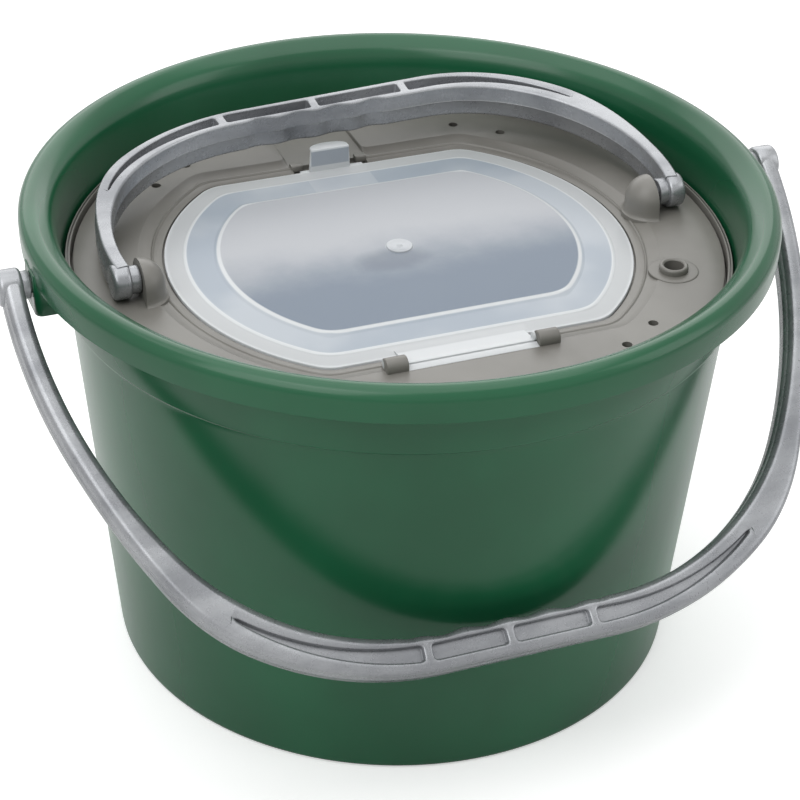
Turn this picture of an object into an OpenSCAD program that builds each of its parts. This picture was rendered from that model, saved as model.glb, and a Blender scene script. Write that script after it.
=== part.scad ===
// Round bait bucket with a lift-out strainer insert, a deck with an air port, a hinged hatch and two bails.
// Origin on the bucket axis at the base plane. +Z up, +X along the bail pivots, -Y towards the hatch hinge.

/* [Bucket] */
// outside diameter of the rolled rim
rim_d = 300; // [270:1:330]
// overall height from base to the top of the rim
bucket_h = 198; // [178:1:218]
// outside diameter of the foot
base_d = 236; // [212:1:250]
// wall thickness of the moulding
wall = 2.2; // [1.8:0.1:2.6]
// distance of the ledge step below the top of the rim
ledge_drop = 36; // [33:1:39]
// how far the rim stands out past the throat under it
rim_overhang = 12.9; // [12:0.1:14]
// radius of the rim roll
roll_r = 5; // [4.4:0.1:5.4]
// height of the foot ring under the floor
foot_h = 3.5; // [2.5:0.5:6]

/* [Outer bail] */
// distance of the pivot below the top of the rim
outer_pivot_drop = 16; // [15:0.5:17.5]
// radius of the pivot stud
outer_stud_r = 3.6; // [3:0.1:4]
// distance from the pivot to the inside of the grip
outer_reach = 165.7; // [160:0.1:182]
// width of the strap at the grip, seen on its flat face
outer_grip_w = 14.3; // [12:0.1:16]
// width of the strap along the arms
outer_arm_w = 8; // [7:0.1:9]
// thickness of the strap
outer_strap_t = 14; // [12:0.5:15]
// sideways play taken up to one side
outer_play = 2.2; // [0:0.1:2.2]

/* [Strainer basket] */
// wall thickness of the basket
basket_wall = 1.8; // [1.4:0.1:2.2]
// height of the basket floor above the base
basket_floor_z = 14; // [12:1:24]
// slots around the basket in each row
slot_count = 30; // [18:2:36]
// width of a slot
slot_w = 3; // [2:0.25:4]

/* [Deck] */
// distance of the deck's top face below the top of the rim
deck_drop = 26.7; // [26:0.1:28]
// thickness of the deck
deck_t = 2.2; // [1.8:0.1:2.6]
// diameter of a vent hole
vent_d = 4; // [3:0.5:5]
// bore of the air port
port_bore_d = 8; // [6:0.5:9]

/* [Inner bail] */
// height of the pivot above the deck
inner_pivot_rise = 7.5; // [7.4:0.1:8]
// radius of the pivot stud
inner_stud_r = 3; // [2.6:0.1:3.4]
// width of the strap at the grip
inner_grip_w = 10.8; // [9:0.1:12]
// width of the strap along the arms
inner_arm_w = 5.6; // [5:0.1:7]
// thickness of the strap
inner_strap_t = 14; // [12:0.5:14.2]
// angle of the bail above the horizontal as it lies
inner_lie = 7; // [6:0.5:12]
// sideways play taken up to one side
inner_play = 1.2; // [0:0.1:1.2]

/* [Hatch] */
// radius of the hatch's round sides as a share of the deck's
hatch_share = 0.723; // [0.68:0.005:0.73]
// half the hatch's width front to back as a share of its radius
hatch_flat_share = 0.801; // [0.77:0.005:0.82]
// thickness of the hatch's sheet
hatch_t = 1.7; // [1.5:0.1:1.9]
// radius of the hinge bar
hinge_bar_r = 1.9; // [1.6:0.1:2.1]
// width of the latch tab
tab_w = 16.7; // [12:0.5:20]

/* [Hidden] */
green = [0.07, 0.27, 0.15];
silver = [0.62, 0.63, 0.65];
warm_grey = [0.42, 0.42, 0.40];
clear_grey = [0.75, 0.78, 0.82, 0.6];
eps = 0.01;
// radial clearance of every pivot
pivot_gap = 0.06;
// gap left where one piece rests on another
seat = 0.3;

rim_r = rim_d / 2;
base_r = base_d / 2;
roll_x = rim_r - roll_r;
roll_z = bucket_h - roll_r;
throat_z = roll_z - 8;
throat_out = rim_r - rim_overhang;
ledge_z = bucket_h - ledge_drop;
upper_out = throat_out - 2;
ledge_step = 2.5;
ledge_out = upper_out - ledge_step;
ledge_top = ledge_z + wall;
floor_top = foot_h + 2.4;
floor_rib = 2;
function lower_r(z) = base_r + (ledge_out - base_r) * z / ledge_z;
function upper_r(z) = upper_out + (throat_out - upper_out) * (z - ledge_z) / (throat_z - ledge_z);
lip_in = [throat_out - wall + 0.4, bucket_h - 6];
lip_top = [roll_x - 6.6, bucket_h - 3.3];

outer_pivot_z = bucket_h - outer_pivot_drop;
plate_t = 3;
plate_out = rim_r + 0.3;
bracket_w = 18;
bracket_low = outer_pivot_z - 10;
bracket_top = roll_z - 1.5;
bracket_rib = 2.2;
bracket_round = 2.4;

// A smooth arch: straight grip, one tangent arc and a second one that ends on the pivot line.
function arc_pts(cx, cy, r, from, to, n) =
    [for (i = [0:n]) [cx + r * sin(from + (to - from) * i / n), cy + r * cos(from + (to - from) * i / n)]];
function tail(pts) = [for (i = [1:len(pts) - 1]) pts[i]];
function half_arch(reach, grip, r1, a1, span) =
    let (x1 = grip + r1 * sin(a1), y1 = reach - r1 * (1 - cos(a1)))
    let (a2 = 2 * (atan2(y1, span - x1) - a1))
    let (r2 = norm([span - x1, y1]) / (2 * sin(abs(a2) / 2)))
    concat(arc_pts(grip, reach - r1, r1, 0, a1, 12), tail(arc_pts(x1 - r2 * sin(a1), y1 - r2 * cos(a1), r2, a1, a1 + a2, 9)));
// Grows an arch outwards: full width round the grip, easing to the arm's width.
function ease(t) = let (u = min(1, max(0, t))) u * u * (3 - 2 * u);
function way(pts, i) = let (a = pts[max(0, i - 1)], b = pts[min(len(pts) - 1, i + 1)], v = b - a) [-v[1], v[0]] / norm(v) * -1;
function grown(pts, wide, slim, from, to) =
    [for (i = [0:len(pts) - 1]) pts[i] + (i == 0 ? [0, 1] : i == len(pts) - 1 ? [1, 0] : -way(pts, i))
        * (wide + (slim - wide) * ease((i / (len(pts) - 1) - from) / (to - from)))];

outer_grip = outer_reach * 0.214;
outer_bend = outer_reach * 0.634;
outer_span = rim_r + 5.6;
outer_boss_w = outer_arm_w + 1.5;
outer_in = half_arch(outer_reach, outer_grip, outer_bend, 58, outer_span);
outer_out = grown(outer_in, outer_grip_w, outer_arm_w, 0.35, 0.75);
outer_rib_at = [-41.2, -8.3, 26];
outer_rib_half = 1.7;
outer_pocket_in = 3.4;
outer_pocket_out = 4;
pocket_deep = 3;
// the bail hangs until its grip meets the bucket's wall
lean = (ledge_out - base_r) / ledge_z;
hang_a = outer_reach + lean * outer_strap_t / 2;
hang_b = lean * outer_reach - outer_strap_t / 2;
hang_gap = 0.7;
outer_hang = atan2(hang_b, hang_a) + acos((base_r + lean * outer_pivot_z + hang_gap) / norm([hang_a, hang_b]));

collar_r = 5.5;
outer_collar_in = plate_out + 2.5;
head_r = 5.2;
head_low = plate_out - 9;
head_high = plate_out - 5.9;

deck_z = bucket_h - deck_drop;
ring_out = upper_r(deck_z) - wall - 0.7;
ring_w = 2;
ring_gap = 1;
ring_z = deck_z + 1.7;
flange_low = ledge_top + seat;
flange_t = 1.8;
basket_gap = 1.8;
basket_top_r = lower_r(ledge_z - 2) - wall - basket_gap;
basket_low_r = lower_r(basket_floor_z) - wall - basket_gap - 2;
function basket_r(z) = basket_low_r + (basket_top_r - basket_low_r) * (z - basket_floor_z) / (ledge_z - 2 - basket_floor_z);
basket_in = basket_top_r - basket_wall;
slot_margin = 28;
slot_h = (ledge_z - basket_floor_z - slot_margin) / 4;
slot_gap = slot_h / 3;

deck_r = ring_out - ring_w - ring_gap;
deck_low = deck_z - deck_t;
deck_foot_w = 2;
lug_r = 10;
lug_inset = 21.5;
lug_face = deck_r - lug_inset;
lug_top = deck_z + 15.2;
lug_bore_deep = 6.5;
inner_pivot_z = deck_z + inner_pivot_rise;
inner_pivot_y = -4;
vent_inset = 18;
vent_at = deck_r - vent_inset;
port_inset = 20.4;
port_at = deck_r - port_inset;
port_turn = -29.1;
port_wall = 1.8;
port_pad_w = 6;
port_up = 2.9;
port_down = 5;

hatch_r = deck_r * hatch_share;
hatch_flat = hatch_r * hatch_flat_share;
hatch_corner = hatch_r * 0.15;
gutter = 5;
bevel = 5;
bevel_deep = 1.8;
gutter_z = deck_z - 3.7;
hatch_gap = 0.8;
hatch_low = gutter_z + seat;
hatch_top = hatch_low + hatch_t;
opening_in = 10;
plug_in = 11;
plug_wall = 1.6;
plug_deep = 5;
panel_in = 20;
panel_edge = 2;
panel_up = 1.2;
hinge_y = -(hatch_flat + gutter + 2.7);
hinge_z = deck_z + 1.3;
hatch_mid = -2;
clip_len = 10.5;
clip_at = hatch_r * 0.319;
clip_wall = 1.5;
clip_r = hinge_bar_r + pivot_gap + clip_wall;
strip_len = 2 * clip_at - clip_len - 2;
strip_t = 1.9;
latch_half = 17;
latch_low = deck_z - 1.5;
latch_deep = 25;
latch_lip = 1.5;
tab_top = deck_z + 12.6;
tab_t = 1.5;
tab_in = 4.6;

inner_reach = hatch_flat + 9.7;
inner_grip = inner_reach * 0.488;
inner_bend = inner_reach * 0.859;
inner_collar_in = lug_face + inner_play + seat;
inner_span = lug_face + 5.1;
inner_boss_w = inner_arm_w + 1.6;
inner_in = half_arch(inner_reach, inner_grip, inner_bend, 80, inner_span);
inner_out = grown(inner_in, inner_grip_w, inner_arm_w, 0.3, 0.6);
inner_rib_at = [-49.5, -8.6, 32.5];
inner_rib_half = 1.7;
inner_pocket_in = 2.2;
inner_pocket_out = 2.4;

// Outline of the hatch grown by o: round sides, straight front and back, rounded corners.
function hatch_pts(o) =
    let (r = hatch_r + o, h = hatch_flat + o, c = hatch_corner + min(o, 0) * 0.5)
    let (cx = sqrt((r - c) * (r - c) - (h - c) * (h - c)), cy = h - c, a = atan2(cy, cx))
    concat(
        [for (i = [-9:9]) [r * cos(a * i / 9), r * sin(a * i / 9)]],
        [for (i = [1:4]) [cx + c * cos(a + (90 - a) * i / 4), cy + c * sin(a + (90 - a) * i / 4)]],
        [for (i = [0:4]) [-cx - c * sin((90 - a) * i / 4), cy + c * cos((90 - a) * i / 4)]],
        [for (i = [-8:9]) [-r * cos(a * -i / 9), r * sin(a * -i / 9)]],
        [for (i = [1:4]) [-cx - c * cos(a + (90 - a) * i / 4), -cy - c * sin(a + (90 - a) * i / 4)]],
        [for (i = [0:3]) [cx + c * sin((90 - a) * i / 4), -cy - c * cos((90 - a) * i / 4)]]);

module hatch_plate(o, low, top) {
    translate([0, 0, low]) linear_extrude(top - low) polygon(hatch_pts(o));
}

module bucket_wall() {
    rotate_extrude($fn = 96) difference() {
        union() {
            polygon([[0, foot_h], [base_r - 3, foot_h], [base_r - 2.4, 0], [base_r - 1, 0], [base_r, 1.2],
                [ledge_out, ledge_z], [upper_out, ledge_z], [throat_out, throat_z],
                [rim_r - 0.5, throat_z - 0.4], [rim_r - 0.3, roll_z - 1], [roll_x - roll_r * 0.4, roll_z + roll_r * 0.8],
                lip_top, lip_in, [throat_out - wall, throat_z],
                [upper_out - wall, ledge_top], [lower_r(ledge_z - 2) - wall, ledge_top], [lower_r(floor_top + 14) - wall, floor_top + 14],
                [base_r - 4.6, floor_top + 0.8], [base_r - 8, floor_top], [0, floor_top]]);
            translate([roll_x, roll_z]) circle(r = roll_r, $fn = 48);
        }
        translate([roll_x, roll_z]) circle(r = roll_r - wall, $fn = 48);
        polygon([[throat_out + 0.15, throat_z - 4], [throat_out + 1.4, roll_z - 1], [roll_x - 2, roll_z + 1.2],
            [rim_r - wall - 0.5, roll_z + 1], [rim_r - wall - 0.6, throat_z - 4]]);
    }
}

module bracket_solid(inset, low, top, out) {
    w = bracket_w / 2 - inset;
    c = bracket_round;
    translate([0, 0, low]) linear_extrude(top - low)
        polygon([[throat_out - 1.2, -w], [out - c, -w], [out - c * 0.3, c * 0.3 - w], [out, c - w],
            [out, w - c], [out - c * 0.3, w - c * 0.3], [out - c, w], [throat_out - 1.2, w]]);
}

module stud_bore(r) {
    translate([plate_out - plate_t - 1, 0, outer_pivot_z]) rotate([0, 90, 0]) cylinder(r = r, h = plate_t + 2, $fn = 48);
}

module bracket() {
    difference() {
        bracket_solid(0, bracket_low, bracket_top, plate_out);
        bracket_solid(bracket_rib, bracket_low - 1, bracket_top - 2, plate_out - plate_t);
        stud_bore(outer_stud_r + pivot_gap);
    }
}

module floor_ribs() {
    cylinder(r = 9, h = foot_h + 1, $fn = 48);
    for (a = [0:60:300]) rotate([0, 0, a + 30]) translate([5, -floor_rib / 2, 0.4]) cube([base_r - 8, floor_rib, foot_h]);
}

module bucket() {
    color(green) difference() {
        union() {
            bucket_wall();
            floor_ribs();
            bracket();
            mirror([1, 0, 0]) bracket();
        }
        rotate_extrude($fn = 96) polygon([[base_r * 0.4, bracket_low - 4], [upper_r(bracket_low - 4) - wall - eps, bracket_low - 4],
            [throat_out - wall, throat_z], lip_in, [base_r * 0.4, lip_in[1]]]);
        for (side = [0, 180]) rotate([0, 0, side]) {
            stud_bore(outer_stud_r + pivot_gap);
            bracket_solid(bracket_rib, outer_pivot_z - head_r - 1, outer_pivot_z + head_r + 1, plate_out - plate_t);
        }
    }
}

module strap(inside, outside, t) {
    n = len(inside) - 1;
    translate([0, 0, -t / 2]) linear_extrude(t)
        polygon(concat([for (i = [n:-1:0]) [-inside[i][0], inside[i][1]]], inside,
            [for (i = [n:-1:0]) outside[i]], [for (i = [0:n]) [-outside[i][0], outside[i][1]]]));
}

module both_faces(t) {
    for (s = [-1, 1]) translate([0, 0, s * t / 2 - pocket_deep]) linear_extrude(2 * pocket_deep) children();
}

module grip_pocket(from, to, low, high, t) {
    both_faces(t) translate([from, low]) square([to - from, high - low]);
}

module arm_pocket(inside, outside, from, last, inset, t) {
    first = [for (i = [1:last]) if (inside[i][0] > from + 1) i][0];
    low = concat([[from, inside[0][1] + inset]], [for (i = [first:last]) inside[i] + (outside[i] - inside[i]) * (0.24 + 0.2 * i / last)]);
    high = concat([for (i = [last:-1:first]) outside[i] + (inside[i] - outside[i]) * (0.26 + 0.2 * i / last)], [[from, outside[0][1] - inset]]);
    both_faces(t) polygon(concat(low, high));
}

module finger_grip(n, pitch, mid, reach, deep, r, t) {
    for (i = [0:n - 1]) translate([mid + (i - (n - 1) / 2) * pitch, reach - r + deep, 0])
        cylinder(r = r, h = t + 2, center = true, $fn = 48);
}

module pivot_end(span, boss_r, boss_w, collar_at, stud_r, stud_at) {
    rotate([0, 90, 0]) {
        translate([0, 0, span]) cylinder(r = boss_r, h = boss_w, $fn = 48);
        translate([0, 0, collar_at]) cylinder(r = collar_r, h = span + 1 - collar_at, $fn = 48);
        translate([0, 0, stud_at]) cylinder(r = stud_r, h = collar_at + 1 - stud_at, $fn = 48);
    }
}

module bail_pockets(inside, outside, reach, grip_w, ribs, half, in, out, ends, t) {
    for (i = [0, 1]) grip_pocket(ribs[i] + half, ribs[i + 1] - half, reach + in, reach + grip_w - out, t);
    arm_pocket(inside, outside, ribs[2] + half, ends[1], (in + out) / 2, t);
    mirror([1, 0, 0]) arm_pocket(inside, outside, half - ribs[0], ends[0], (in + out) / 2, t);
}

module outer_bail_flat() {
    difference() {
        union() {
            strap(outer_in, outer_out, outer_strap_t);
            for (s = [0, 1]) mirror([s, 0, 0]) {
                pivot_end(outer_span + 0.1, outer_strap_t / 2 + 0.4, outer_boss_w, outer_collar_in, outer_stud_r, head_high - 1);
                rotate([0, 90, 0]) translate([0, 0, head_low]) cylinder(r1 = outer_stud_r + 0.4, r2 = head_r, h = head_high - head_low, $fn = 48);
            }
        }
        bail_pockets(outer_in, outer_out, outer_reach, outer_grip_w, outer_rib_at, outer_rib_half, outer_pocket_in, outer_pocket_out, [9, 7], outer_strap_t);
        finger_grip(5, 17, outer_rib_at[1], outer_reach, 0.9, 40, outer_strap_t);
    }
}

module outer_bail() {
    color(silver) translate([outer_play, 0, outer_pivot_z]) rotate([180 + outer_hang, 0, 0]) outer_bail_flat();
}

module inner_bail_flat() {
    difference() {
        union() {
            strap(inner_in, inner_out, inner_strap_t);
            for (s = [0, 1]) mirror([s, 0, 0])
                pivot_end(inner_span + 0.1, inner_strap_t / 2, inner_boss_w, inner_collar_in, inner_stud_r, lug_face - 5);
        }
        bail_pockets(inner_in, inner_out, inner_reach, inner_grip_w, inner_rib_at, inner_rib_half, inner_pocket_in, inner_pocket_out, [9, 7], inner_strap_t);
        finger_grip(4, 17, inner_rib_at[1], inner_reach, 0.9, 40, inner_strap_t);
    }
}

module inner_bail() {
    color(silver) translate([inner_play, inner_pivot_y, inner_pivot_z]) rotate([inner_lie, 0, 0]) inner_bail_flat();
}

module wall_slots(row, turn) {
    low = basket_floor_z + slot_gap + row * (slot_h + slot_gap);
    mid = basket_r(low + slot_h / 2);
    for (i = [0:slot_count - 1]) rotate([0, 0, turn + i * 360 / slot_count])
        translate([mid - 8, -slot_w / 2, low]) cube([14, slot_w, slot_h]);
}

module floor_slots(share, length, count, turn) {
    for (i = [0:count - 1]) rotate([0, 0, turn + i * 360 / count])
        translate([basket_low_r * share, -slot_w / 2, basket_floor_z - 3]) cube([basket_low_r * length, slot_w, 6]);
}

module strainer_basket() {
    color(warm_grey) difference() {
        rotate_extrude($fn = 96) polygon([[0, basket_floor_z - basket_wall], [basket_low_r - 2.5, basket_floor_z - basket_wall],
            [basket_low_r, basket_floor_z + 1], [basket_top_r, ledge_z - 2], [basket_top_r, flange_low],
            [ring_out - 0.7, flange_low], [ring_out, ring_z - 0.6], [ring_out - 0.3, ring_z], [ring_out - 0.8, ring_z],
            [ring_out - 0.9, ring_z - 1.2], [ring_out - 1.3, ring_z - 1.2], [ring_out - 1.4, ring_z],
            [ring_out - ring_w, ring_z], [ring_out - ring_w - 0.2, flange_low + flange_t], [basket_in, flange_low + flange_t],
            [basket_in, ledge_z - 2], [basket_low_r - basket_wall, basket_floor_z + 2], [basket_low_r - 4, basket_floor_z], [0, basket_floor_z]]);
        wall_slots(0, 0);
        wall_slots(1, 180 / slot_count);
        wall_slots(2, 0);
        floor_slots(0.16, 0.21, 8, 0);
        floor_slots(0.44, 0.21, 16, 0);
        floor_slots(0.72, 0.18, 24, 7.5);
    }
}

module lug() {
    translate([lug_face, inner_pivot_y, 0]) rotate([0, 0, 90]) difference() {
        rotate_extrude(angle = 180, $fn = 48) polygon(concat([[0, deck_low + 1], [lug_r + 0.5, deck_low + 1]],
            [for (a = [0:15:75]) [lug_r * cos(a), lug_top - lug_r + lug_r * sin(a)]], [[0, lug_top]]));
        translate([0, lug_bore_deep, inner_pivot_z]) rotate([90, 0, 0])
            cylinder(r = inner_stud_r + pivot_gap, h = lug_bore_deep + 1, $fn = 48);
    }
}

module vents() {
    for (side = [-1, 1], a = [46, 57, -51, -61]) rotate([0, 0, side > 0 ? a : 180 - a])
        translate([vent_at, 0, deck_low - 1]) cylinder(d = vent_d, h = deck_t + 3, $fn = 32);
}

module hinge_clip() {
    translate([-clip_len / 2, hinge_y, hinge_z]) rotate([0, 90, 0]) difference() {
        union() {
            cylinder(r = clip_r, h = clip_len, $fn = 48);
            translate([0, 0.5 - clip_r, 0]) cube([hinge_z - deck_low - 0.5, 2 * clip_r - 1.2, clip_len]);
        }
        translate([0, 0, -1]) cylinder(r = hinge_bar_r + pivot_gap, h = clip_len + 2, $fn = 48);
        translate([-0.8, -clip_r - 1, -1]) cube([3, clip_r + 1, clip_len + 2]);
    }
}

module deck_plate() {
    difference() {
        union() {
            rotate_extrude($fn = 96) polygon([[0, deck_low], [deck_r - deck_foot_w, deck_low], [deck_r - deck_foot_w, flange_low + flange_t + seat],
                [deck_r, flange_low + flange_t + seat], [deck_r, deck_z - 0.6], [deck_r - 0.6, deck_z], [0, deck_z]]);
            hatch_plate(gutter + bevel + 1.5, gutter_z - deck_t, deck_low + 0.5);
            translate([hatch_mid - latch_half - 2, hatch_flat, latch_low - deck_t])
                cube([2 * latch_half + 4, latch_deep, deck_t]);
        }
        hull() {
            hatch_plate(gutter + bevel, deck_z, deck_z + 0.1);
            hatch_plate(gutter, deck_z - bevel_deep, deck_z - bevel_deep + 0.1);
        }
    }
}

module gutter_bead() {
    difference() {
        hatch_plate(gutter + 0.9, gutter_z - deck_t + 0.5, deck_z - bevel_deep + 0.5);
        hatch_plate(gutter, gutter_z - deck_t - 1, deck_z);
    }
}

module at_port() {
    translate([port_at * cos(port_turn), port_at * sin(port_turn), 0]) children();
}

module deck() {
    color(warm_grey) {
        difference() {
            union() {
                deck_plate();
                gutter_bead();
                lug();
                mirror([1, 0, 0]) lug();
                at_port() translate([0, 0, deck_low - port_down]) cylinder(d = port_bore_d + 2 * port_wall, h = deck_t + port_down + port_up, $fn = 48);
                at_port() translate([0, 0, deck_low + 1]) cylinder(d = port_bore_d + 2 * port_pad_w, h = deck_t - 0.6, $fn = 48);
                for (s = [-1, 1]) translate([hatch_mid + s * clip_at, 0, 0]) hinge_clip();
            }
            hatch_plate(hatch_gap, gutter_z, deck_z + 1);
            hatch_plate(-opening_in, gutter_z - deck_t - 1, deck_z + 1);
            translate([hatch_mid - latch_half, hatch_flat - 2, gutter_z]) cube([2 * latch_half, gutter + 2.5, 10]);
            translate([hatch_mid - latch_half, hatch_flat - 2, latch_low]) cube([2 * latch_half, latch_deep, 10]);
            translate([hatch_mid - strip_len / 2 - 1, hinge_y - 3.4, deck_z - 2.4])
                cube([strip_len + 2, 3.4 - hinge_y - hatch_flat + 2, 10]);
            for (s = [-1, 1]) translate([hatch_mid + s * clip_at, hinge_y, hinge_z]) rotate([0, 90, 0])
                cylinder(r = hinge_bar_r + pivot_gap, h = clip_len + 5, center = true, $fn = 48);
            at_port() translate([0, 0, deck_low - port_down - 1]) cylinder(d = port_bore_d, h = deck_t + port_down + port_up + 2, $fn = 48);
            vents();
        }
        for (s = [-1, 1]) translate([hatch_mid + s * (latch_half - 3) - 2, hatch_flat + 3, latch_low - deck_t + 0.5])
            cube([4, 4.5, deck_t + 1.5]);
    }
}

module latch_tab() {
    w = tab_w / 2;
    h = tab_top - hatch_low;
    translate([hatch_mid, hatch_flat - tab_in + tab_t, hatch_low]) rotate([90, 0, 0]) linear_extrude(tab_t)
        polygon([[-w, 0], [w, 0], [w - 0.7, h - 2.6], [w - 1.4, h - 1.3], [w - 3, h - 0.6], [w * 0.3, h],
            [-w * 0.3, h], [3 - w, h - 0.6], [1.4 - w, h - 1.3], [0.7 - w, h - 2.6]]);
}

module hinge_strip() {
    translate([hatch_mid, hinge_y, hinge_z]) rotate([0, 90, 0])
        cylinder(r = hinge_bar_r, h = 2 * clip_at + clip_len + 3, center = true, $fn = 48);
    translate([hatch_mid - strip_len / 2, hinge_y - 1.6, hinge_z - strip_t + 0.5]) cube([strip_len, gutter + 5.1, strip_t]);
    translate([hatch_mid - strip_len / 2, -hatch_flat - hatch_gap + 0.3, hatch_low + 0.2])
        cube([strip_len, 2.5, hinge_z + 0.3 - hatch_low]);
}

module panel(o, low, up) {
    hull() {
        hatch_plate(o, low, low + 0.4);
        hatch_plate(o - panel_edge, low + up, low + up + 0.4);
    }
}

module hatch() {
    color(clear_grey) difference() {
        union() {
            hatch_plate(0, hatch_low, hatch_top);
            hatch_plate(-8, hatch_low, hatch_top + 0.5);
            panel(-panel_in, hatch_top, panel_up);
            hatch_plate(-plug_in, hatch_low - plug_deep, hatch_low + 0.5);
            latch_tab();
            translate([hatch_mid - latch_half + 3, hatch_flat - 4, hatch_low]) cube([2 * latch_half - 6, 4 + latch_lip, hatch_t]);
            hinge_strip();
            translate([0, 0, hatch_top + panel_up]) cylinder(r = 2.5, h = 0.8, $fn = 32);
        }
        hatch_plate(-plug_in - plug_wall, hatch_low - plug_deep - 1, hatch_low);
        panel(-panel_in - 1.6, hatch_low - 0.3, panel_up - 0.2);
    }
}

bucket();
outer_bail();
strainer_basket();
deck();
inner_bail();
hatch();
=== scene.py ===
import bpy
import math
from mathutils import Matrix, Vector


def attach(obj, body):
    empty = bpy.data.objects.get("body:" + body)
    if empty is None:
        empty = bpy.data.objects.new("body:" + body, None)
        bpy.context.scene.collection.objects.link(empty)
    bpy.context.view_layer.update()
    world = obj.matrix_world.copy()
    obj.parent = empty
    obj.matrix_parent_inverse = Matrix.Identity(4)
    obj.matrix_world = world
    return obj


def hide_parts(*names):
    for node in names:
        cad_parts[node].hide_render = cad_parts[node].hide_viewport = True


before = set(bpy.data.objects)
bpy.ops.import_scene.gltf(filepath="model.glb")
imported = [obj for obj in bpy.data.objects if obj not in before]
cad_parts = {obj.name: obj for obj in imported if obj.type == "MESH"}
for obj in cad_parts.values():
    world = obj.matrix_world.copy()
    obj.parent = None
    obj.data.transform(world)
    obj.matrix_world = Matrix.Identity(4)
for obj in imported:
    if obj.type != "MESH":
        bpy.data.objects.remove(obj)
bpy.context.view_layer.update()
mm = 0.001
print("frame loaded")


# selecting and finishing

def clearSelection():
    if bpy.context.mode != "OBJECT":
        bpy.ops.object.mode_set(mode="OBJECT")
    bpy.ops.object.select_all(action="DESELECT")


def pick(obj):
    clearSelection()
    obj.select_set(True)
    bpy.context.view_layer.objects.active = obj


def added(name):
    obj = bpy.context.active_object
    obj.name = name
    obj.data.name = name
    return obj


def settle(obj):
    pick(obj)
    bpy.ops.object.transform_apply(location=True, rotation=True, scale=True)


def editMode(obj, kind="VERT"):
    pick(obj)
    bpy.ops.object.mode_set(mode="EDIT")
    bpy.ops.mesh.select_mode(type=kind)


def objectMode():
    bpy.ops.object.mode_set(mode="OBJECT")


def outwards(obj):
    editMode(obj)
    bpy.ops.mesh.select_all(action="SELECT")
    bpy.ops.mesh.remove_doubles(threshold=1e-6)
    bpy.ops.mesh.normals_make_consistent(inside=False)
    objectMode()


def join(main, others):
    pick(main)
    for o in others:
        o.select_set(True)
    bpy.ops.object.join()
    return main


def softened(obj, width, segments=3, angle=60):
    # rounds the edges that are sharper than the angle
    pick(obj)
    mod = obj.modifiers.new("Bevel", "BEVEL")
    mod.width = width
    mod.segments = segments
    mod.limit_method = "ANGLE"
    mod.angle_limit = math.radians(angle)
    bpy.ops.object.modifier_apply(modifier=mod.name)
    return obj


def smooth(obj, angle):
    pick(obj)
    bpy.ops.object.shade_smooth_by_angle(angle=math.radians(angle))


def turned(obj, degrees, centre):
    # swings a finished piece about an X line, in its own mesh
    obj.data.transform(Matrix.Translation(centre) @ Matrix.Rotation(math.radians(degrees), 4, "X"))
    obj.data.update()


def moved(obj, x, y, z):
    obj.data.transform(Matrix.Translation((x * mm, y * mm, z * mm)))
    return obj


def finished(obj, material, body, replaced=()):
    obj.data.materials.clear()
    obj.data.materials.append(material)
    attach(obj, body)
    if replaced:
        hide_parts(*replaced)


# shapes that the pieces start from

def cosDeg(angle):
    return math.cos(math.radians(angle))


def sinDeg(angle):
    return math.sin(math.radians(angle))


def rodAlongX(name, radius, low, high, soft=0.0):
    # a round bar along X, in metres
    clearSelection()
    bpy.ops.mesh.primitive_cylinder_add(vertices=64, radius=radius, depth=abs(high - low),
        rotation=(0, math.radians(90), 0), location=((low + high) / 2, 0, 0))
    rod = added(name)
    settle(rod)
    return softened(rod, soft) if soft else rod


def zRod(name, radius, x, y, low, high, sides=48):
    # an upright round bar, in millimetres
    clearSelection()
    bpy.ops.mesh.primitive_cylinder_add(vertices=sides, radius=radius * mm, depth=(high - low) * mm,
        location=(x * mm, y * mm, (low + high) / 2 * mm))
    rod = added(name)
    settle(rod)
    return rod


def block(name, low, high, soft=0.0):
    # a box between two corners in millimetres, with rounded edges
    clearSelection()
    size = [(high[k] - low[k]) * mm for k in range(3)]
    middle = [(high[k] + low[k]) / 2 * mm for k in range(3)]
    bpy.ops.mesh.primitive_cube_add(size=1.0, location=middle, scale=size)
    piece = added(name)
    settle(piece)
    return softened(piece, soft * mm) if soft else piece


def layered(name, loops):
    # a closed solid through outlines that all have the same number of points
    count = len(loops[0])
    clearSelection()
    bpy.ops.mesh.primitive_circle_add(vertices=count, radius=1.0, fill_type="NGON")
    piece = added(name)
    editMode(piece, "FACE")
    bpy.ops.mesh.select_all(action="SELECT")
    for k in range(1, len(loops)):
        bpy.ops.mesh.extrude_region_move(TRANSFORM_OT_translate={"value": (0, 0, 1.0)})
    objectMode()
    for v in piece.data.vertices:
        k = int(round(v.co.z))
        i = int(round(math.atan2(v.co.y, v.co.x) / (2 * math.pi / count))) % count
        v.co = Vector(loops[k][i])
    outwards(piece)
    return piece


def ringed(name, loops):
    # the same, but the last outline joins the first, so that the middle stays open
    piece = layered(name, loops + [loops[0]])
    editMode(piece, "FACE")
    bpy.ops.mesh.select_all(action="DESELECT")
    objectMode()
    for face in piece.data.polygons:
        face.select = len(face.vertices) == len(loops[0])
    bpy.ops.object.mode_set(mode="EDIT")
    bpy.ops.mesh.delete(type="ONLY_FACE")
    objectMode()
    outwards(piece)
    return piece


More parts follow.
